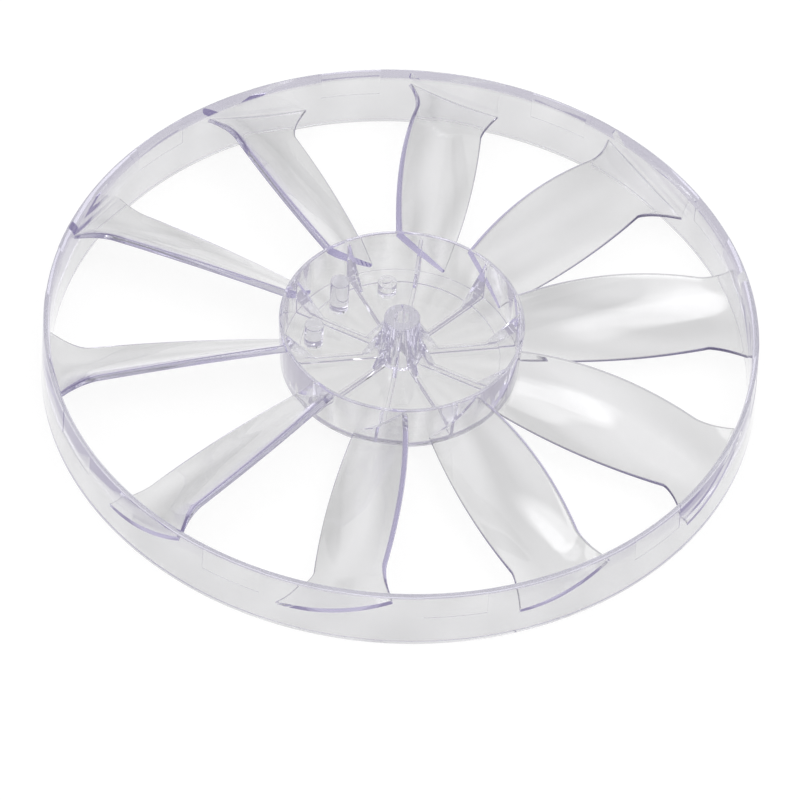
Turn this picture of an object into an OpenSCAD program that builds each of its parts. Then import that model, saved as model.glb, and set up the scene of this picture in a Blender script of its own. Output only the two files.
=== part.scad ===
// Ventilator fan wheel, moulded in one piece of clear plastic.
// The origin is on the axis, at the height of the ring's bottom edge.
// The axis is Z, and the boss opens upwards.

/* [Ring] */
// Outer diameter of the ring at its top edge
ring_d = 305; // [260:1:360]
// Height of the ring
ring_h = 30; // [26:0.5:42]
// Thickness of the ring's wall, from its top outer edge to its inner face
ring_wall = 2.8; // [2:0.1:5]
// Thickness that is left of the wall at the rim, where the inner face has curved outwards
rim_t = 0.6; // [0.4:0.1:1.8]
// Height of the curved lip at the top of the inner face
lip_h = 5; // [3:0.5:8]
// How much further out the ring's outer face stands at its bottom edge
ring_spread = 1; // [0:0.1:2]
// Height of the mould's parting line on the ring's inner face
parting_h = 14; // [6:0.5:20]
// How far the ring's inner face leans out above and below the parting line
parting_lean = 0.3; // [0.1:0.05:1]
// Bevel on the ring's top outer corner
ring_bevel = 0.2; // [0.1:0.05:0.3]

/* [Panels] */
// Angle that each shallow panel on the ring's outer face covers
panel_angle = 10; // [4:0.5:14]
// Height of the panels, measured down from the ring's top edge
panel_h = 14; // [6:0.5:20]
// Depth of the panels
panel_depth = 0.2; // [0.1:0.05:0.5]

/* [Hub cup] */
// Outer diameter of the cup at its rim
cup_rim_d = 105; // [90:1:125]
// Outer diameter of the cup at its bottom
cup_base_d = 103; // [86:1:125]
// Height of the cup's underside over the ring's bottom edge
cup_base_z = 7.4; // [3:0.2:12]
// Height of the cup, from its underside to its rim
cup_h = 23.8; // [20:0.2:32]
// Thickness of the cup's wall
cup_wall = 1.6; // [1.2:0.1:3]
// Thickness of the cup's floor
floor_t = 1.6; // [1.2:0.1:3]
// Diameter inside which the floor lies lower
step_d = 86; // [60:1:90]
// Height of the step in the floor
step_h = 0.5; // [0.3:0.1:2]
// Bevel round the cup's underside
cup_bevel = 0.5; // [0.3:0.1:2]

/* [Boss] */
// Diameter of the bore that takes the motor's shaft
bore_d = 7.2; // [5:0.1:9.5]
// Diameter of the boss at its top
boss_top_d = 15.2; // [13:0.1:20]
// Diameter of the boss at the floor
boss_base_d = 18; // [15:0.1:24]
// How far the boss stands above the cup's rim
boss_rise = 2; // [0:0.2:6]
// Bevel round the boss's top
boss_bevel = 0.6; // [0.2:0.1:1.2]

/* [Ribs] */
// Thickness of the ribs in the cup
rib_t = 1.6; // [1:0.1:3]
// Height of the ribs over the floor
rib_h = 3.2; // [2:0.2:6]
// Radius at which the fins beside the boss meet the ribs
fin_foot_r = 16.5; // [13:0.5:22]
// How far the fins end below the boss's top
fin_drop = 1.6; // [0.8:0.2:5]
// Radius at which the gussets against the cup's wall begin
gusset_foot_r = 37; // [28:0.5:40]
// How far the gussets end below the cup's rim
gusset_drop = 1.6; // [0.6:0.2:6]

/* [Balance posts] */
// Diameter of the three balance posts
post_d = 8.2; // [4:0.1:10]
// Radius at which the posts stand
post_r = 37.6; // [30:0.5:39]
// Height of the hollow post over the floor
post_a_h = 6.3; // [5.6:0.1:14]
// Height of the tall post over the floor
post_b_h = 16.6; // [8:0.2:19]
// Height of the third post over the floor
post_c_h = 11; // [6:0.2:14]
// Diameter of the socket in the hollow post
socket_d = 4.6; // [2:0.1:6]
// Depth of the socket
socket_depth = 4.5; // [2:0.1:5.5]

/* [Blades] */
// Number of blades, always even because every second one has a wide foot
blade_count = 10; // [6:2:12]
// Direction of the first blade's middle
first_blade_angle = 11.4; // [0:0.1:36]
// Distance from the ring's inner face to the neck, where a blade starts to flare
flare_length = 16.6; // [10:0.2:24]
// How far the high edge starts below the cup's rim
lead_root_drop = 1.4; // [1.2:0.1:4]
// How far the high edge's neck lies below the ring's top edge
lead_neck_drop = 3.4; // [1:0.1:8]
// How far the high edge ends below the ring's top edge
lead_tip_drop = 6.6; // [3:0.1:10]
// How much the high edge arches up between root and neck
lead_arch = 4; // [0:0.1:6]
// Distance of the high edge from the blade's middle at the root
lead_root_w = 10; // [7:0.1:12]
// Distance of the high edge from the blade's middle at the neck
lead_neck_w = 15.4; // [11:0.1:19]
// Distance of the high edge from the blade's middle at the tip
lead_tip_w = 21.8; // [16:0.1:25]
// How much the high edge bows out between root and neck
lead_bow = 3; // [0:0.1:5]
// How far the low edge starts above the cup's underside
trail_root_rise = 4.4; // [3:0.1:8]
// Height of the low edge's neck over the ring's bottom edge
trail_neck_z = 13; // [8:0.1:16]
// Height of the low edge's tip over the ring's bottom edge
trail_tip_z = 11; // [5:0.1:14]
// How much the low edge sags between root and neck
trail_sag = 1.2; // [0:0.1:3]
// Distance of the low edge from the blade's middle at the root
trail_root_w = 11.2; // [8:0.1:12.5]
// Distance of the low edge from the blade's middle at the neck
trail_neck_w = 14.4; // [11:0.1:18]
// Distance of the low edge from the blade's middle at the tip
trail_tip_w = 20.2; // [15:0.1:25]
// The same distance on every second blade, whose foot is wider
trail_wide_tip_w = 28.6; // [20:0.1:30]
// How much the low edge bows out between root and neck
trail_bow = 2.3; // [0:0.1:4]

/* [Blade section] */
// How deep the section sags below its chord at the root
camber_root = 1.5; // [0:0.1:3]
// How deep the section sags at the neck
camber_neck = 3.6; // [0:0.1:5]
// How deep the section sags at the tip
camber_tip = 3; // [0:0.1:5]
// Thickness of the high edge at the root
lead_root_t = 3.2; // [2:0.1:4]
// Thickness of the high edge at the tip
lead_tip_t = 1.9; // [1.2:0.1:3]
// Thickness of the low edge at the root
trail_root_t = 2; // [1.2:0.1:3]
// Thickness of the low edge at the tip
trail_tip_t = 1.5; // [1:0.1:2.5]
// Extra thickness in the middle of the section
belly_t = 0.7; // [0:0.1:1.5]

/* [Hidden] */

// Smoothness of the round walls and of the small round parts
wall_fn = 180;
small_fn = 48;
// How far a cutting shape runs past what it cuts
over = 1;
// Stations along a blade, up to its neck and on its flare, and steps across it
leaf_steps = 12;
flare_steps = 7;
chord_steps = 10;
// Steps along the ring's curved lip
lip_steps = 6;
// Powers of the curves that the flared edges follow
lead_flare_power = 1.8;
trail_flare_power = 1.05;

ring_r = ring_d / 2;
ring_inner_r = ring_r - ring_wall;
parting_r = ring_inner_r - parting_lean;
lip_w = ring_wall - rim_t;
lip_turn = 2 * atan(lip_w / lip_h);
lip_r = lip_h / sin(lip_turn);
blade_pitch = 360 / blade_count;
gap_angle = first_blade_angle + blade_pitch / 2;

cup_rim_z = cup_base_z + cup_h;
cup_rim_r = cup_rim_d / 2;
cup_base_r = cup_base_d / 2;
floor_z = cup_base_z + floor_t;
bore_r = bore_d / 2;
boss_top_r = boss_top_d / 2;
boss_base_r = boss_base_d / 2;
boss_top_z = cup_rim_z + boss_rise;

neck_r = parting_r - flare_length;
lead_root_z = cup_rim_z - lead_root_drop;
lead_neck_z = ring_h - lead_neck_drop;
lead_tip_z = ring_h - lead_tip_drop;
trail_root_z = cup_base_z + trail_root_rise;

// Value between a and b at fraction t
function mix(a, b, t) = a + (b - a) * t;

// Hump that is 0 at both ends and 1 in the middle
function hump(t) = 4 * t * (1 - t);

// Outer radius of the ring and of the cup at height z
function ring_outer(z) = ring_r + ring_spread * (1 - z / ring_h);
function cup_outer(z) = mix(cup_base_r, cup_rim_r, (z - cup_base_z) / cup_h);

// Middle of the ring's wall and of the cup's wall at height z, where blades and ribs end
function ring_mid(z) = (ring_outer(z) + parting_r) / 2;
function cup_mid(z) = cup_outer(z) - cup_wall / 2;

// Place along a blade: from 0 at the root to 1 at the neck, and from 1 to 2 on the flare
function leaf_part(u) = min(u, 1);
function flare_part(u) = max(u - 1, 0);

// Distance from the blade's middle and height, for the high edge at place u
function lead_w(u) =
    mix(lead_root_w, lead_neck_w, leaf_part(u)) + lead_bow * hump(leaf_part(u))
    + (lead_tip_w - lead_neck_w) * pow(flare_part(u), lead_flare_power);
function lead_z(u) =
    mix(lead_root_z, lead_neck_z, leaf_part(u)) + lead_arch * hump(leaf_part(u))
    + (lead_tip_z - lead_neck_z) * flare_part(u);

// The same for the low edge, whose tip distance depends on the blade
function trail_w(u, tip_w) =
    mix(trail_root_w, trail_neck_w, leaf_part(u)) + trail_bow * hump(leaf_part(u))
    + (tip_w - trail_neck_w) * pow(flare_part(u), trail_flare_power);
function trail_z(u) =
    mix(trail_root_z, trail_neck_z, leaf_part(u)) - trail_sag * hump(leaf_part(u))
    + (trail_tip_z - trail_neck_z) * flare_part(u);

// Sag of the section below its chord, and its thickness at fraction w across it
function camber(u) =
    mix(camber_root, camber_neck, leaf_part(u)) + (camber_tip - camber_neck) * flare_part(u);
function thickness(u, w) =
    mix(mix(trail_root_t, trail_tip_t, u / 2), mix(lead_root_t, lead_tip_t, u / 2), w)
    + belly_t * hump(w);

// Point of the section: across and up, on the middle line or to one side of it
function section_point(u, w, side, tip_w) =
    let (
        low = trail_z(u),
        high = lead_z(u),
        width = lead_w(u) + trail_w(u, tip_w),
        slope = high - low - camber(u) * 4 * (1 - 2 * w),
        half = side * thickness(u, w) / 2 / norm([width, slope])
    )
    [
        width * w - trail_w(u, tip_w) - slope * half,
        mix(low, high, w) - camber(u) * hump(w) + width * half
    ];

// Radius of place u at height z: the ends follow the cup's wall and the ring's wall
function station_r(u, z) =
    u <= 0 ? cup_mid(z)
    : u >= 2 ? ring_mid(z)
    : u <= 1 ? mix(cup_mid(z), neck_r, u)
    : mix(neck_r, parting_r + ring_wall / 2, u - 1);

// The point wrapped round the axis at its radius
function wrapped(u, p) =
    let (
        r = station_r(u, p[1]),
        turn = p[0] / r * 180 / PI
    )
    [r * cos(turn), r * sin(turn), p[1]];

// Places of the stations along a blade
stations = concat(
    [for (i = [0 : leaf_steps]) i / leaf_steps],
    [for (i = [1 : flare_steps]) 1 + i / flare_steps]
);
loop_size = 2 * (chord_steps + 1);
last_loop = (len(stations) - 1) * loop_size;

function station_loop(u, tip_w) = concat(
    [for (i = [0 : chord_steps]) wrapped(u, section_point(u, i / chord_steps, 1, tip_w))],
    [for (i = [chord_steps : -1 : 0]) wrapped(u, section_point(u, i / chord_steps, -1, tip_w))]
);

// Triangles of the skin between one station and the next, and of the two ends
skin_faces = [
    for (s = [0 : len(stations) - 2], i = [0 : loop_size - 1])
    let (
        a = s * loop_size + i,
        b = s * loop_size + (i + 1) % loop_size
    )
    each [[a, b, a + loop_size], [b, b + loop_size, a + loop_size]]
];
end_faces = [
    for (i = [0 : chord_steps - 1])
    let (
        a = i,
        b = loop_size - 1 - i
    )
    each [
        [a, b, a + 1],
        [a + 1, b, b - 1],
        [last_loop + a, last_loop + a + 1, last_loop + b],
        [last_loop + a + 1, last_loop + b - 1, last_loop + b]
    ]
];

// One blade, from the cup's wall to the ring's wall
module blade(tip_w) {
    points = [for (u = stations) each station_loop(u, tip_w)];
    polyhedron(points = points, faces = concat(skin_faces, end_faces), convexity = 4);
}

// All blades, every second one with the wide foot
module blades() {
    for (i = [0 : blade_count - 1])
        rotate(first_blade_angle + i * blade_pitch)
            blade(i % 2 == 1 ? trail_wide_tip_w : trail_tip_w);
}

// Arc of the lip, from the rim down to where it runs smoothly into the ring's inner face
lip_points = [
    for (i = [lip_steps : -1 : 0])
    let (turn = lip_turn * i / lip_steps)
    [ring_inner_r + lip_r * (1 - cos(turn)), ring_h - lip_h + lip_r * sin(turn)]
];

// Profile of the ring, whose inner face leans both ways from the parting line under its lip
module ring_profile() {
    polygon(concat(
        [
            [ring_inner_r, 0],
            [ring_outer(0), 0],
            [ring_outer(ring_h - ring_bevel), ring_h - ring_bevel],
            [ring_r - ring_bevel, ring_h]
        ],
        lip_points,
        [[parting_r, parting_h]]
    ));
}

// Shape that cuts one shallow panel into the ring's outer face
module panel_cut() {
    bottom = ring_h - panel_h;
    rotate_extrude(angle = panel_angle, start = -panel_angle / 2, $fn = wall_fn)
        polygon([
            [ring_outer(bottom) - panel_depth, bottom],
            [ring_outer(bottom) + over, bottom],
            [ring_r + over, ring_h + over],
            [ring_r - panel_depth, ring_h + over]
        ]);
}

// The ring round the blades, with a panel between each two blades
module ring() {
    difference() {
        rotate_extrude($fn = wall_fn) ring_profile();
        for (i = [0 : blade_count - 1])
            rotate(gap_angle + i * blade_pitch) panel_cut();
    }
}

// The cup with its stepped floor and the bored boss, in one profile
module hub() {
    rotate_extrude($fn = wall_fn)
        polygon([
            [bore_r, cup_base_z],
            [cup_base_r - cup_bevel, cup_base_z],
            [cup_outer(cup_base_z + cup_bevel), cup_base_z + cup_bevel],
            [cup_rim_r, cup_rim_z],
            [cup_rim_r - cup_wall, cup_rim_z],
            [cup_outer(floor_z + step_h) - cup_wall, floor_z + step_h],
            [step_d / 2, floor_z + step_h],
            [step_d / 2, floor_z],
            [boss_base_r, floor_z],
            [boss_top_r, boss_top_z - boss_bevel],
            [boss_top_r - boss_bevel, boss_top_z],
            [bore_r, boss_top_z]
        ]);
}

// Outline of a rib, with the fin beside the boss and the gusset against the wall
module rib_outline() {
    sunk_z = floor_z - floor_t / 2;
    rib_top_z = floor_z + rib_h;
    fin_top_z = boss_top_z - fin_drop;
    gusset_top_z = cup_rim_z - gusset_drop;
    polygon([
        [(bore_r + boss_base_r) / 2, sunk_z],
        [cup_mid(sunk_z), sunk_z],
        [cup_mid(gusset_top_z), gusset_top_z],
        [gusset_foot_r, rib_top_z],
        [fin_foot_r, rib_top_z],
        [(bore_r + boss_top_r) / 2, fin_top_z]
    ]);
}

// The ribs in the cup, one behind each blade
module ribs() {
    for (i = [0 : blade_count - 1])
        rotate([90, 0, first_blade_angle + i * blade_pitch])
            linear_extrude(rib_t, center = true) rib_outline();
}

// One balance post, standing between two ribs, with an optional socket in its top
module post(place, height, hole_depth) {
    rotate(gap_angle + place * blade_pitch) translate([post_r, 0, 0])
        difference() {
            translate([0, 0, floor_z - floor_t / 2])
                cylinder(h = height + floor_t / 2, d = post_d, $fn = small_fn);
            translate([0, 0, floor_z + height - hole_depth])
                cylinder(h = hole_depth + over, d = socket_d, $fn = small_fn);
        }
}

// The three balance posts
module posts() {
    post(2, post_a_h, socket_depth);
    post(3, post_b_h, 0);
    post(4, post_c_h, 0);
}

// The whole wheel, one moulding of clear plastic with a lavender tint
module fan_blade() {
    color([0.84, 0.83, 0.93])
        union() {
            hub();
            ring();
            ribs();
            posts();
            blades();
        }
}

fan_blade();
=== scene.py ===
"""The clear plastic ventilator wheel, lying on a pale floor in a softly lit pale room.

Sizes are in millimetres and degrees, and meshes are made in metres.
"""

import math

import bmesh
import bpy
from mathutils import Matrix, Vector


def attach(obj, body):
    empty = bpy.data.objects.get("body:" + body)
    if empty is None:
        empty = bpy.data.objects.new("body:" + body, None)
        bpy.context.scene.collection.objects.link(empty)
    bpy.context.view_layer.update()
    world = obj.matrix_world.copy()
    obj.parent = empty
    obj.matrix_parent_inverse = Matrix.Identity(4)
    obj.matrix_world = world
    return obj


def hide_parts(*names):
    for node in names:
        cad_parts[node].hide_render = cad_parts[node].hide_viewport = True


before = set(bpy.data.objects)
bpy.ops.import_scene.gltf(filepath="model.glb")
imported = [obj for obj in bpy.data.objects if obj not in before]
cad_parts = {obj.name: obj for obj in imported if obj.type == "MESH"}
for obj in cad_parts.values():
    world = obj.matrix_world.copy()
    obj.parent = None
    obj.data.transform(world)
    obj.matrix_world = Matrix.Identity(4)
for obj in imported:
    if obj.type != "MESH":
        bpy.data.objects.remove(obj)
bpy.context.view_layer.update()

MM = 0.001

# Ring
RING_R = 152.5
RING_H = 30.0
RING_WALL = 2.8
RING_SPREAD = 1.0
RIM_T = 0.6
LIP_H = 5.0
PARTING_H = 14.0
PARTING_LEAN = 0.3
RIM_ROUND = 0.2
RING_FOOT_ROUND = 0.3
PANEL_ANGLE = 10.0
PANEL_H = 14.0
PANEL_DEPTH = 0.2
PANEL_CUT_ROOM = 1.0

# Hub cup and boss
CUP_RIM_R = 52.5
CUP_BASE_R = 51.5
CUP_BASE_Z = 7.4
CUP_H = 23.8
CUP_WALL = 1.6
FLOOR_T = 1.6
STEP_R = 43.0
STEP_H = 0.5
CUP_RIM_ROUND = 0.45
CUP_FOOT_ROUND = 0.5
CUP_INNER_ROUND = 0.8
STEP_ROUND = 0.3
BORE_R = 3.6
BORE_ROUND = 0.3
BOSS_TOP_R = 7.6
BOSS_BASE_R = 9.0
BOSS_RISE = 2.0
BOSS_ROUND = 0.7
BOSS_FOOT_ROUND = 1.0

# Ribs and posts
RIB_T = 1.6
RIB_H = 3.2
RIB_ROUND = 0.35
FIN_FOOT_R = 16.5
FIN_DROP = 1.6
GUSSET_FOOT_R = 37.0
GUSSET_DROP = 1.6
POST_R = 4.1
POST_PLACE_R = 37.6
POST_HEIGHTS = {2: 6.3, 3: 16.6, 4: 11.0}
SOCKET_R = 2.3
SOCKET_DEPTH = {2: 4.5}
POST_ROUND = 0.4

# Blades
BLADE_COUNT = 10
FIRST_BLADE_ANGLE = 11.4
FLARE_LENGTH = 16.6
LEAD_ROOT_DROP = 1.4
LEAD_NECK_DROP = 3.4
LEAD_TIP_DROP = 6.6
LEAD_ARCH = 4.0
LEAD_ROOT_W = 10.0
LEAD_NECK_W = 15.4
LEAD_TIP_W = 21.8
LEAD_BOW = 3.0
TRAIL_ROOT_RISE = 4.4
TRAIL_NECK_Z = 13.0
TRAIL_TIP_Z = 11.0
TRAIL_SAG = 1.2
TRAIL_ROOT_W = 11.2
TRAIL_NECK_W = 14.4
TRAIL_TIP_W = 20.2
TRAIL_WIDE_TIP_W = 28.6
TRAIL_BOW = 2.3
CAMBER_ROOT = 1.5
CAMBER_NECK = 3.6
CAMBER_TIP = 3.0
LEAD_ROOT_T = 3.2
LEAD_TIP_T = 1.9
TRAIL_ROOT_T = 2.0
TRAIL_TIP_T = 1.5
BELLY_T = 0.7
EDGE_ROUND = 0.7
LEAD_FLARE_POWER = 1.8
TRAIL_FLARE_POWER = 1.5

# Fineness of the mesh
RING_STEPS = 540
PANEL_STEPS = 12
CUP_STEPS = 288
POST_STEPS = 64
LEAF_STEPS = 44
FLARE_STEPS = 22
CHORD_STEPS = 22
LIP_STEPS = 14
CORNER_STEPS = 6
BEVEL_STEPS = 2
SMOOTH_ANGLE = 38.0
WELD = 0.001

# Plastic: its colour in depth, the clouded greys of the first wall, and the grey of walls behind
IOR = 1.58
TINT = (0.58, 0.555, 0.73)
TINT_DENSITY = 22
FIRST_WALL_FACES = 2
CLOUD_NOISE = (0.3, 0.7)
CLOUD_GREYS = (0.66, 0.83)
REAR_GREY = 0.99

# Painted shade: dark lines along the blades' rounded edges, where the plastic bends the light away,
# and how dark the high edge is against the low one
EDGE_SHADE = "edge_shade"
PAINTED_EDGE_SHADE_COLOUR = (0.09, 0.08, 0.13)
HIGH_EDGE_SHADE = 0.5

# Painted glow, which stands in for the light caught inside the plastic after its last reflection
LAST_REFLECTION = 4
HUB_GLOW = (0.31, 0.30, 0.335)
BLADE_GLOW = (0.37, 0.352, 0.43)
TIP_GLOW = (0.18, 0.16, 0.25)
RING_GLOW = (0.44, 0.435, 0.44)

# Streaks in the surface: angle across in radians, height, length, depth, and where they are full
STREAK_ANGLE = 0.12
STREAK_H = 22.0
STREAK_LENGTH = 55.0
STREAK_DEPTH = 0.6
STREAK_FULL_R = 75.0
RING_STREAKS = 0.3
EVEN_NOISE = 0.52

# Floor: its size and place, its surface, and its glow, which fades far away as the plastic shows it
STAGE_HALF = 12000.0
STAGE_DROP = 0.2
STAGE_GREY = 0.16
STAGE_ROUGHNESS = 0.9
STAGE_GLOW = 0.87
STAGE_FADE = (600.0, 1500.0)
FAR_STAGE = 0.7

# Light of the room: its levels, and the heights in degrees between which the dark band ends
HORIZON_LEVEL = 0.75
ZENITH_LEVEL = 1.1
DARK_LEVEL = 0.6
DARK_BAND = (4.0, 16.0)

# Soft boxes and dark flags: angle from straight up, direction, half height, half width, strength
BOX_FEATHER = 0.22
SOFT_BOXES = [
    (48, 186, 8, 10, 3.2),
    (38, -137, 9, 5.5, 2.4),
    (32, -30, 11, 15, 2.7),
    (44, -58, 5, 7, -1.3),
    (36, 137, 6, 6, -1.2),
    (67, 125, 13, 6, -0.9),
    (60, 51, 7, 9, -0.7),
]

# Camera: its angles, where the origin lies in its view, its distance and its lens
CAMERA_ELEVATION = 47.79
CAMERA_ROLL = -3.86
CAMERA_ALONG = -0.50
CAMERA_ABOVE = 13.21
CAMERA_AWAY = 2577.45
CAMERA_LENS = 270
CAMERA_SENSOR = 36
CAMERA_CLIP = (0.1, 100)

# Derived sizes
RING_INNER_R = RING_R - RING_WALL
PARTING_R = RING_INNER_R - PARTING_LEAN
LIP_W = RING_WALL - RIM_T
BLADE_PITCH = 360.0 / BLADE_COUNT
GAP_ANGLE = FIRST_BLADE_ANGLE + BLADE_PITCH / 2
CUP_RIM_Z = CUP_BASE_Z + CUP_H
FLOOR_Z = CUP_BASE_Z + FLOOR_T
BOSS_TOP_Z = CUP_RIM_Z + BOSS_RISE
NECK_R = PARTING_R - FLARE_LENGTH
LEAD_ROOT_Z = CUP_RIM_Z - LEAD_ROOT_DROP
LEAD_NECK_Z = RING_H - LEAD_NECK_DROP
LEAD_TIP_Z = RING_H - LEAD_TIP_DROP
TRAIL_ROOT_Z = CUP_BASE_Z + TRAIL_ROOT_RISE


def mix(a, b, t):
    return a + (b - a) * t


def hump(t):
    return 4 * t * (1 - t)


def hump_slope(t):
    return 4 * (1 - 2 * t)


def ring_outer(z):
    return RING_R + RING_SPREAD * (1 - z / RING_H)


def cup_outer(z):
    return mix(CUP_BASE_R, CUP_RIM_R, (z - CUP_BASE_Z) / CUP_H)


def ring_mid(z):
    return (ring_outer(z) + PARTING_R) / 2


def cup_mid(z):
    return cup_outer(z) - CUP_WALL / 2


def at_angle(angle):
    return Matrix.Rotation(math.radians(angle), 4, "Z")


def rounded(outline):
    """The outline, given as (x, y, radius of the corner), with an arc at each rounded corner."""
    points = []
    for i, (x, y, radius) in enumerate(outline):
        here = Vector((x, y))
        if not radius:
            points.append((x, y))
            continue
        before = (Vector(outline[i - 1][:2]) - here).normalized()
        after = (Vector(outline[(i + 1) % len(outline)][:2]) - here).normalized()
        half = before.angle(after) / 2
        centre = here + (before + after).normalized() * radius / math.sin(half)
        start = here + before * radius / math.tan(half) - centre
        turn = (math.pi - 2 * half) * (1 if before.cross(after) < 0 else -1)
        for k in range(CORNER_STEPS + 1):
            arm = Matrix.Rotation(turn * k / CORNER_STEPS, 2) @ start
            points.append(tuple(centre + arm))
    return points


def mesh_object(name, points, faces):
    """A closed mesh of points in millimetres, with its faces turned outwards."""
    mesh = bpy.data.meshes.new(name)
    mesh.from_pydata([Vector(p) * MM for p in points], [], faces)
    shape = bmesh.new()
    shape.from_mesh(mesh)
    bmesh.ops.recalc_face_normals(shape, faces=shape.faces)
    shape.to_mesh(mesh)
    shape.free()
    thing = bpy.data.objects.new(name, mesh)
    bpy.context.scene.collection.objects.link(thing)
    return thing


def revolved(name, outline, steps, full=360.0):
    """The outline of (radius, height) turned about Z, with end caps if it isn't a full turn."""
    closed = full == 360.0
    count = len(outline)
    rows = steps if closed else steps + 1
    points = []
    for k in range(rows):
        a = math.radians(full * k / steps)
        points += [(r * math.cos(a), r * math.sin(a), z) for r, z in outline]
    faces = []
    for k in range(steps):
        here, there = k * count, (k + 1) % rows * count
        for i in range(count):
            j = (i + 1) % count
            faces.append((here + i, here + j, there + j, there + i))
    if not closed:
        faces.append(tuple(range(count)))
        faces.append(tuple(range(steps * count, rows * count)))
    return mesh_object(name, points, faces)


def bevelled(thing, width):
    """thing with its sharp edges rounded."""
    bevel = thing.modifiers.new("round", "BEVEL")
    bevel.width = width * MM
    bevel.segments = BEVEL_STEPS
    bevel.limit_method = "ANGLE"
    bevel.angle_limit = math.radians(SMOOTH_ANGLE)
    return thing


def placed(thing, matrix):
    thing.matrix_world = matrix
    return thing


def combine(base, others, operation):
    """base with the others added to it or cut from it. The others are used up."""
    for other in others:
        step = base.modifiers.new(operation, "BOOLEAN")
        step.solver = "MANIFOLD"
        step.operation = operation
        step.object = other
    bpy.context.view_layer.update()
    graph = bpy.context.evaluated_depsgraph_get()
    mesh = bpy.data.meshes.new_from_object(base.evaluated_get(graph))
    base.modifiers.clear()
    base.data = mesh
    for other in others:
        bpy.data.objects.remove(other)
    return base


def lead_edge(leaf, flare):
    """Distance from the blade's middle and height of the high edge."""
    w = mix(LEAD_ROOT_W, LEAD_NECK_W, leaf) + LEAD_BOW * hump(leaf)
    w += (LEAD_TIP_W - LEAD_NECK_W) * flare**LEAD_FLARE_POWER
    z = mix(LEAD_ROOT_Z, LEAD_NECK_Z, leaf) + LEAD_ARCH * hump(leaf)
    z += (LEAD_TIP_Z - LEAD_NECK_Z) * flare
    return w, z


def trail_edge(leaf, flare, tip_w):
    """Distance from the blade's middle and height of the low edge."""
    w = mix(TRAIL_ROOT_W, TRAIL_NECK_W, leaf) + TRAIL_BOW * hump(leaf)
    w += (tip_w - TRAIL_NECK_W) * flare**TRAIL_FLARE_POWER
    z = mix(TRAIL_ROOT_Z, TRAIL_NECK_Z, leaf) - TRAIL_SAG * hump(leaf)
    z += (TRAIL_TIP_Z - TRAIL_NECK_Z) * flare
    return w, z


def section(u, tip_w):
    """Closed loop of (across, up) at place u: 0 is the root, 1 the neck and 2 the tip."""
    leaf, flare = min(u, 1), max(u - 1, 0)
    lead_w, high = lead_edge(leaf, flare)
    trail_w, low = trail_edge(leaf, flare, tip_w)
    width = lead_w + trail_w
    sag = mix(CAMBER_ROOT, CAMBER_NECK, leaf) + (CAMBER_TIP - CAMBER_NECK) * flare
    low_t = mix(TRAIL_ROOT_T, TRAIL_TIP_T, u / 2)
    high_t = mix(LEAD_ROOT_T, LEAD_TIP_T, u / 2)
    corner = EDGE_ROUND / math.hypot(width, high - low)
    angles = [math.pi / 2 * k / CORNER_STEPS for k in range(CORNER_STEPS)]
    shares = [(corner * (1 - math.cos(a)), EDGE_ROUND * (1 - math.sin(a))) for a in angles]
    steps = [(mix(corner, 1 - corner, k / CHORD_STEPS), 0.0) for k in range(CHORD_STEPS + 1)]
    shares += steps + [(1 - w, thinner) for w, thinner in reversed(shares)]
    sides = []
    for side in (1, -1):
        points = []
        for w, thinner in shares:
            slope = high - low - sag * hump_slope(w)
            thick = mix(low_t, high_t, w) + BELLY_T * hump(w)
            half = side * (thick / 2 - thinner) / math.hypot(width, slope)
            across = width * w - trail_w - slope * half
            up = mix(low, high, w) - sag * hump(w) + width * half
            points.append((across, up))
        sides.append(points)
    return sides[0] + sides[1][::-1]


def edge_shades():
    """How dark the painted edge shade is at each point of the section's loop: along the low edge
    and beside the high one.
    """
    angles = [math.pi / 2 * k / CORNER_STEPS for k in range(CORNER_STEPS)]
    side = [math.sqrt(math.cos(a)) for a in angles] + [0.0] * (CHORD_STEPS + 1)
    side += [HIGH_EDGE_SHADE * math.sin(2 * a) for a in reversed(angles)]
    return side + side[::-1]


def station_r(u, z):
    """Radius of place u at height z: the ends follow the cup's wall and the ring's wall."""
    if u <= 0:
        return cup_mid(z)
    if u >= 2:
        return ring_mid(z)
    if u <= 1:
        return mix(cup_mid(z), NECK_R, u)
    return mix(NECK_R, PARTING_R + RING_WALL / 2, u - 1)


def blade(index):
    """One blade, from inside the cup's wall to inside the ring's wall."""
    tip_w = TRAIL_WIDE_TIP_W if index % 2 else TRAIL_TIP_W
    places = [k / LEAF_STEPS for k in range(LEAF_STEPS + 1)]
    places += [1 + k / FLARE_STEPS for k in range(1, FLARE_STEPS + 1)]
    points = []
    for u in places:
        for across, up in section(u, tip_w):
            r = station_r(u, up)
            points.append((r * math.cos(across / r), r * math.sin(across / r), up))
    count = len(points) // len(places)
    faces = []
    for s in range(len(places) - 1):
        here, there = s * count, (s + 1) * count
        for i in range(count):
            j = (i + 1) % count
            faces.append((here + i, here + j, there + j, there + i))
    half = count // 2
    last = (len(places) - 1) * count
    for i in range(half - 1):
        for first in (0, last):
            faces.append((first + i, first + i + 1, first + count - 2 - i, first + count - 1 - i))
    thing = mesh_object(f"blade_{index}", points, faces)
    # Share of painted edge shade at each point, read by the plastic's colour
    shade = thing.data.attributes.new(EDGE_SHADE, "FLOAT", "POINT")
    shade.data.foreach_set("value", edge_shades() * len(places))
    return placed(thing, at_angle(FIRST_BLADE_ANGLE + index * BLADE_PITCH))


def lip():
    """Arc from the rim down to where it runs smoothly into the ring's inner face."""
    full = 2 * math.atan(LIP_W / LIP_H)
    arc_r = LIP_H / math.sin(full)
    foot_z = RING_H - LIP_H
    points = []
    for k in range(LIP_STEPS, -1, -1):
        a = full * k / LIP_STEPS
        points.append((RING_INNER_R + arc_r * (1 - math.cos(a)), foot_z + arc_r * math.sin(a), 0))
    return points


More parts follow.
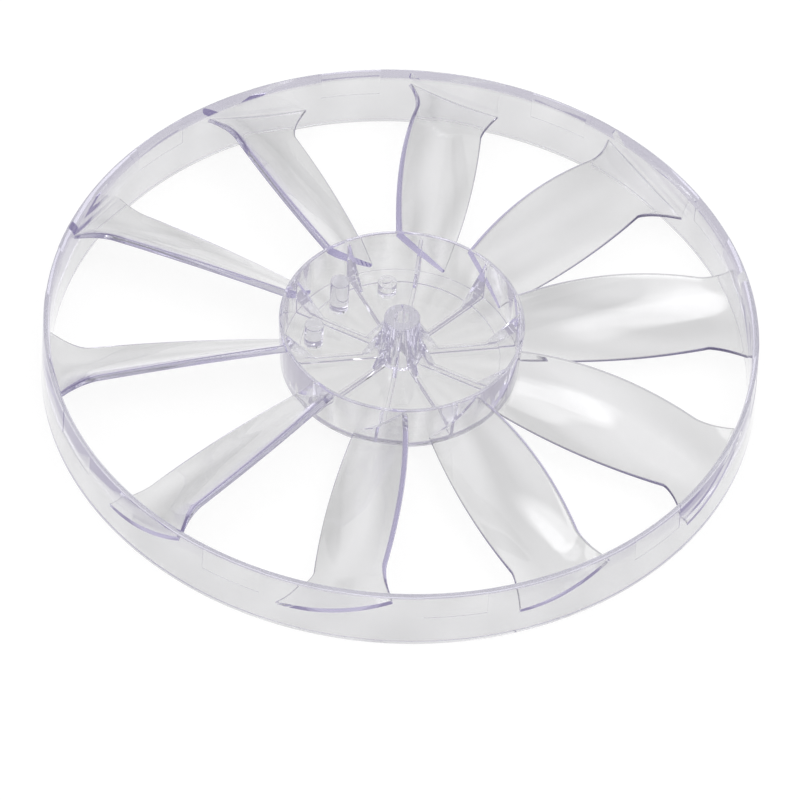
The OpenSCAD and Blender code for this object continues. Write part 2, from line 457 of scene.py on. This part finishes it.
def ring():
    """The ring with the shallow panels in its outer face."""
    outline = [
        (RING_INNER_R, 0, RING_FOOT_ROUND),
        (ring_outer(0), 0, RING_FOOT_ROUND),
        (RING_R, RING_H, RIM_ROUND),
        *lip(),
        (PARTING_R, PARTING_H, 0),
    ]
    bottom = RING_H - PANEL_H
    cut = [
        (ring_outer(bottom) - PANEL_DEPTH, bottom),
        (ring_outer(bottom) + PANEL_CUT_ROOM, bottom),
        (RING_R + PANEL_CUT_ROOM, RING_H + PANEL_CUT_ROOM),
        (RING_R - PANEL_DEPTH, RING_H + PANEL_CUT_ROOM),
    ]
    panels = []
    for i in range(BLADE_COUNT):
        panel = revolved(f"panel_{i}", cut, PANEL_STEPS, PANEL_ANGLE)
        turn = GAP_ANGLE - PANEL_ANGLE / 2 + i * BLADE_PITCH
        panels.append(placed(panel, at_angle(turn)))
    return combine(revolved("wheel", rounded(outline), RING_STEPS), panels, "DIFFERENCE")


def hub():
    """The cup with its stepped floor and the bored boss."""
    outline = [
        (BORE_R, CUP_BASE_Z, BORE_ROUND),
        (CUP_BASE_R, CUP_BASE_Z, CUP_FOOT_ROUND),
        (CUP_RIM_R, CUP_RIM_Z, CUP_RIM_ROUND),
        (CUP_RIM_R - CUP_WALL, CUP_RIM_Z, CUP_RIM_ROUND),
        (cup_outer(FLOOR_Z + STEP_H) - CUP_WALL, FLOOR_Z + STEP_H, CUP_INNER_ROUND),
        (STEP_R, FLOOR_Z + STEP_H, STEP_ROUND),
        (STEP_R, FLOOR_Z, STEP_ROUND),
        (BOSS_BASE_R, FLOOR_Z, BOSS_FOOT_ROUND),
        (BOSS_TOP_R, BOSS_TOP_Z, BOSS_ROUND),
        (BORE_R, BOSS_TOP_Z, BORE_ROUND),
    ]
    return revolved("hub", rounded(outline), CUP_STEPS)


def rib(index):
    """One rib, with its fin beside the boss and its gusset against the cup's wall."""
    sunk_z = FLOOR_Z - FLOOR_T / 2
    rib_top_z = FLOOR_Z + RIB_H
    fin_top_z = BOSS_TOP_Z - FIN_DROP
    gusset_top_z = CUP_RIM_Z - GUSSET_DROP
    outline = [
        ((BORE_R + BOSS_BASE_R) / 2, sunk_z),
        (cup_mid(sunk_z), sunk_z),
        (cup_mid(gusset_top_z), gusset_top_z),
        (GUSSET_FOOT_R, rib_top_z),
        (FIN_FOOT_R, rib_top_z),
        ((BORE_R + BOSS_TOP_R) / 2, fin_top_z),
    ]
    count = len(outline)
    points = [(r, side * RIB_T / 2, z) for side in (-1, 1) for r, z in outline]
    faces = [tuple(range(count)), tuple(range(count, 2 * count))]
    for i in range(count):
        j = (i + 1) % count
        faces.append((i, j, count + j, count + i))
    thing = bevelled(mesh_object(f"rib_{index}", points, faces), RIB_ROUND)
    return placed(thing, at_angle(FIRST_BLADE_ANGLE + index * BLADE_PITCH))


def post(place):
    """One balance post between two ribs, with a socket if it has one."""
    top = FLOOR_Z + POST_HEIGHTS[place]
    sunk_z = FLOOR_Z - FLOOR_T / 2
    outline = [(0, sunk_z, 0), (POST_R, sunk_z, 0), (POST_R, top, POST_ROUND)]
    depth = SOCKET_DEPTH.get(place, 0)
    if depth:
        outline += [(SOCKET_R, top, POST_ROUND / 2), (SOCKET_R, top - depth, 0)]
    outline.append((0, top - depth, 0))
    thing = revolved(f"post_{place}", rounded(outline), POST_STEPS)
    shape = bmesh.new()
    shape.from_mesh(thing.data)
    bmesh.ops.remove_doubles(shape, verts=shape.verts, dist=WELD * MM)
    bmesh.ops.dissolve_degenerate(shape, edges=shape.edges, dist=WELD / 2 * MM)
    shape.to_mesh(thing.data)
    shape.free()
    spot = Matrix.Translation((POST_PLACE_R * MM, 0, 0))
    return placed(thing, at_angle(GAP_ANGLE + place * BLADE_PITCH) @ spot)


def wheel():
    """The whole wheel as one closed mesh."""
    parts = [blade(i) for i in range(BLADE_COUNT)]
    parts.append(hub())
    parts += [rib(i) for i in range(BLADE_COUNT)]
    parts += [post(place) for place in POST_HEIGHTS]
    whole = combine(ring(), parts, "UNION")
    whole.data.shade_smooth()
    whole.data.set_sharp_from_angle(angle=math.radians(SMOOTH_ANGLE))
    return whole


def feed(tree, socket, value):
    """The value goes into the socket, by a link if it comes from a node."""
    if isinstance(value, bpy.types.NodeSocket):
        tree.links.new(value, socket)
    else:
        socket.default_value = value


def calc(tree, operation, *values, clamp=False):
    """Result of one step of arithmetic."""
    node = tree.nodes.new("ShaderNodeMath")
    node.operation = operation
    node.use_clamp = clamp
    for socket, value in zip(node.inputs, values):
        feed(tree, socket, value)
    return node.outputs["Value"]


def vector_calc(tree, operation, *vectors):
    """Node for one step of vector arithmetic."""
    node = tree.nodes.new("ShaderNodeVectorMath")
    node.operation = operation
    for socket, vector in zip(node.inputs, vectors):
        feed(tree, socket, vector)
    return node


def length(tree, vector):
    return vector_calc(tree, "LENGTH", vector).outputs["Value"]


def scaled(tree, value, start, end, low=0.0, high=1.0, kind="LINEAR"):
    """Runs from low to high while the value runs from start to end, and stays there past them."""
    node = tree.nodes.new("ShaderNodeMapRange")
    node.interpolation_type = kind
    names = ("Value", "From Min", "From Max", "To Min", "To Max")
    for name, item in zip(names, (value, start, end, low, high)):
        feed(tree, node.inputs[name], item)
    return node.outputs["Result"]


def blended(tree, share, a, b):
    """Value between a, where the share is 0, and b, where it is 1."""
    node = tree.nodes.new("ShaderNodeMix")
    for name, item in zip(("Factor", "A", "B"), (share, a, b)):
        feed(tree, node.inputs[name], item)
    return node.outputs["Result"]


def split(tree, vector):
    node = tree.nodes.new("ShaderNodeSeparateXYZ")
    tree.links.new(vector, node.inputs["Vector"])
    return node.outputs


def joined(tree, **parts):
    """Vector with the given parts, X, Y and Z, and 0 for the others."""
    node = tree.nodes.new("ShaderNodeCombineXYZ")
    for name, value in parts.items():
        tree.links.new(value, node.inputs[name])
    return node.outputs["Vector"]


def streaks(tree, plan, radius, z):
    """Noise drawn out along the radius, as the melt ran, weak near the axis and in the ring."""
    across = vector_calc(tree, "SCALE", vector_calc(tree, "NORMALIZE", plan).outputs["Vector"])
    across.inputs["Scale"].default_value = 1 / STREAK_ANGLE
    height = calc(tree, "DIVIDE", z, STREAK_H * MM)
    along = calc(tree, "MULTIPLY_ADD", radius, 1 / (STREAK_LENGTH * MM), height)
    noise = tree.nodes.new("ShaderNodeTexNoise")
    noise.inputs["Scale"].default_value = 1
    noise.inputs["Detail"].default_value = 0
    spot = vector_calc(tree, "ADD", across.outputs["Vector"], joined(tree, Z=along))
    tree.links.new(spot.outputs["Vector"], noise.inputs["Vector"])
    onset = scaled(tree, radius, BOSS_BASE_R * MM, STREAK_FULL_R * MM, kind="SMOOTHSTEP")
    calm = scaled(tree, radius, NECK_R * MM, PARTING_R * MM, 1.0, RING_STREAKS)
    strength = calc(tree, "MULTIPLY", onset, calm)
    return blended(tree, strength, EVEN_NOISE, noise.outputs["Fac"])


def wall_colour(tree, path, ripple):
    """Clouded grey for the first wall on the way, nearly clear behind, and painted dark shade at
    blade edges.
    """
    behind = calc(tree, "GREATER_THAN", path["Transmission Depth"], FIRST_WALL_FACES - 0.5)
    clouded = scaled(tree, ripple, *CLOUD_NOISE, *CLOUD_GREYS)
    grey = blended(tree, behind, clouded, REAR_GREY)
    # Painted shade along the blades' edges, on the faces that look outwards
    shade = tree.nodes.new("ShaderNodeAttribute")
    shade.attribute_name = EDGE_SHADE
    inside = tree.nodes.new("ShaderNodeNewGeometry").outputs["Backfacing"]
    share = calc(tree, "SUBTRACT", shade.outputs["Fac"], inside, clamp=True)
    outlined = tree.nodes.new("ShaderNodeMixRGB")
    feed(tree, outlined.inputs["Fac"], share)
    feed(tree, outlined.inputs["Color1"], grey)
    outlined.inputs["Color2"].default_value = (*PAINTED_EDGE_SHADE_COLOUR, 1)
    return outlined.outputs["Color"]


def painted_glow_colour(tree, radius):
    """Colour of the painted glow, which changes with the distance from the axis."""
    glow = tree.nodes.new("ShaderNodeValToRGB")
    ramp = glow.color_ramp
    ramp.interpolation = "CONSTANT"
    ramp.elements[1].position = CUP_RIM_R / RING_R
    ramp.elements.new(NECK_R / RING_R)
    ramp.elements.new(PARTING_R / RING_R)
    for stop, colour in zip(ramp.elements, (HUB_GLOW, BLADE_GLOW, TIP_GLOW, RING_GLOW)):
        stop.color = (*colour, 1)
    feed(tree, glow.inputs["Fac"], calc(tree, "DIVIDE", radius, RING_R * MM))
    return glow.outputs["Color"]


def clear_plastic():
    """Polished clear plastic with a lavender tint that deepens with the length of the light's way.

    Where light has been reflected inside it more often than it is followed, a painted glow stands
    in for it.
    """
    material = bpy.data.materials.new("clear_plastic")
    material.use_nodes = True
    tree = material.node_tree
    shader = tree.nodes["Principled BSDF"]
    shader.inputs["Roughness"].default_value = 0
    shader.inputs["IOR"].default_value = IOR
    shader.inputs["Transmission Weight"].default_value = 1
    path = tree.nodes.new("ShaderNodeLightPath").outputs
    place = tree.nodes.new("ShaderNodeTexCoord").outputs["Object"]
    x, y, z = split(tree, place)
    plan = joined(tree, X=x, Y=y)
    radius = length(tree, plan)
    ripple = streaks(tree, plan, radius, z)
    feed(tree, shader.inputs["Base Color"], wall_colour(tree, path, ripple))
    bump = tree.nodes.new("ShaderNodeBump")
    bump.inputs["Distance"].default_value = STREAK_DEPTH * MM
    tree.links.new(ripple, bump.inputs["Height"])
    tree.links.new(bump.outputs["Normal"], shader.inputs["Normal"])
    # Painted glow: emission wherever a path has reflected inside the plastic more often than it is
    # followed
    trapped = calc(tree, "GREATER_THAN", path["Glossy Depth"], LAST_REFLECTION - 0.5)
    feed(tree, shader.inputs["Emission Strength"], trapped)
    feed(tree, shader.inputs["Emission Color"], painted_glow_colour(tree, radius))
    tint = tree.nodes.new("ShaderNodeVolumeAbsorption")
    tint.inputs["Color"].default_value = (*TINT, 1)
    tint.inputs["Density"].default_value = TINT_DENSITY
    tree.links.new(tint.outputs["Volume"], tree.nodes["Material Output"].inputs["Volume"])
    return material


def pale_floor():
    """The floor, white to the camera, pale in the plastic, and with the wheel's soft shadow."""
    material = bpy.data.materials.new("pale_floor")
    material.use_nodes = True
    tree = material.node_tree
    shader = tree.nodes["Principled BSDF"]
    shader.inputs["Base Color"].default_value = (STAGE_GREY, STAGE_GREY, STAGE_GREY, 1)
    shader.inputs["Roughness"].default_value = STAGE_ROUGHNESS
    shader.inputs["Specular IOR Level"].default_value = 0
    path = tree.nodes.new("ShaderNodeLightPath").outputs
    away = length(tree, tree.nodes.new("ShaderNodeTexCoord").outputs["Object"])
    near, far = [distance * MM for distance in STAGE_FADE]
    lit = scaled(tree, away, near, far, 1.0, FAR_STAGE, kind="SMOOTHSTEP")
    in_plastic = calc(tree, "MAXIMUM", path["Is Transmission Ray"], path["Is Glossy Ray"])
    seen = calc(tree, "MAXIMUM", calc(tree, "MULTIPLY", in_plastic, lit), path["Is Camera Ray"])
    shader.inputs["Emission Color"].default_value = (1, 1, 1, 1)
    feed(tree, shader.inputs["Emission Strength"], calc(tree, "MULTIPLY", seen, STAGE_GLOW))
    return material


def stage():
    """A wide floor just under the wheel."""
    mesh = bpy.data.meshes.new("floor")
    half = STAGE_HALF * MM
    corners = [(-half, -half, 0), (half, -half, 0), (half, half, 0), (-half, half, 0)]
    mesh.from_pydata(corners, [], [(0, 1, 2, 3)])
    floor = bpy.data.objects.new("floor", mesh)
    bpy.context.scene.collection.objects.link(floor)
    floor.location.z = -STAGE_DROP * MM
    floor.data.materials.append(pale_floor())


def soft_box(tree, sky, zenith, azimuth, half_height, half_width, strength):
    """Light of one soft box, whose place and half sizes are in degrees."""
    box = tree.nodes.new("ShaderNodeMapping")
    box.vector_type = "TEXTURE"
    box.inputs["Rotation"].default_value = (0, math.radians(zenith), math.radians(azimuth))
    half_sizes = (math.sin(math.radians(half_height)), math.sin(math.radians(half_width)), 1)
    box.inputs["Scale"].default_value = half_sizes
    tree.links.new(sky, box.inputs["Vector"])
    flat = vector_calc(tree, "MULTIPLY", box.outputs["Vector"], (1, 1, 0))
    away = length(tree, flat.outputs["Vector"])
    return scaled(tree, away, 1 + BOX_FEATHER, 1 - BOX_FEATHER, 0.0, strength, kind="SMOOTHSTEP")


def room():
    """A pale room with feathered soft boxes, darker low down, and white to the camera."""
    world = bpy.data.worlds.new("room")
    world.use_nodes = True
    tree = world.node_tree
    sky = tree.nodes.new("ShaderNodeTexCoord").outputs["Generated"]
    up = split(tree, sky)["Z"]
    general = calc(tree, "MULTIPLY_ADD", up, ZENITH_LEVEL - HORIZON_LEVEL, HORIZON_LEVEL)
    band = [math.sin(math.radians(angle)) for angle in DARK_BAND]
    dark = scaled(tree, up, *band, DARK_LEVEL, 1.0, kind="SMOOTHSTEP")
    level = calc(tree, "MULTIPLY", general, dark)
    for box in SOFT_BOXES:
        level = calc(tree, "ADD", level, soft_box(tree, sky, *box))
    path = tree.nodes.new("ShaderNodeLightPath").outputs
    background = tree.nodes["Background"]
    shown = blended(tree, path["Is Camera Ray"], calc(tree, "MAXIMUM", level, 0.0), 1.0)
    feed(tree, background.inputs["Strength"], shown)
    background.inputs["Color"].default_value = (1, 1, 1, 1)
    bpy.context.scene.world = world


def camera():
    """The camera at the photograph's angle and distance."""
    elevation = math.radians(CAMERA_ELEVATION)
    roll = math.radians(CAMERA_ROLL)
    right = Vector((1, 0, 0))
    up = Vector((0, math.sin(elevation), math.cos(elevation)))
    back = Vector((0, -math.cos(elevation), math.sin(elevation)))
    side = right * math.cos(roll) - up * math.sin(roll)
    top = right * math.sin(roll) + up * math.cos(roll)
    data = bpy.data.cameras.new("camera")
    data.sensor_width = CAMERA_SENSOR
    data.lens = CAMERA_LENS
    data.clip_start, data.clip_end = CAMERA_CLIP
    thing = bpy.data.objects.new("camera", data)
    spot = back * CAMERA_AWAY - side * CAMERA_ALONG - top * CAMERA_ABOVE
    turn = Matrix((side, top, back)).transposed().to_4x4()
    thing.matrix_world = Matrix.Translation(spot * MM) @ turn
    bpy.context.scene.collection.objects.link(thing)
    bpy.context.scene.camera = thing


bpy.context.scene.view_settings.view_transform = "Standard"
camera()
stage()
room()
fan = wheel()
fan.data.materials.clear()
fan.data.materials.append(clear_plastic())
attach(fan, "root")
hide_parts("fan_blade")
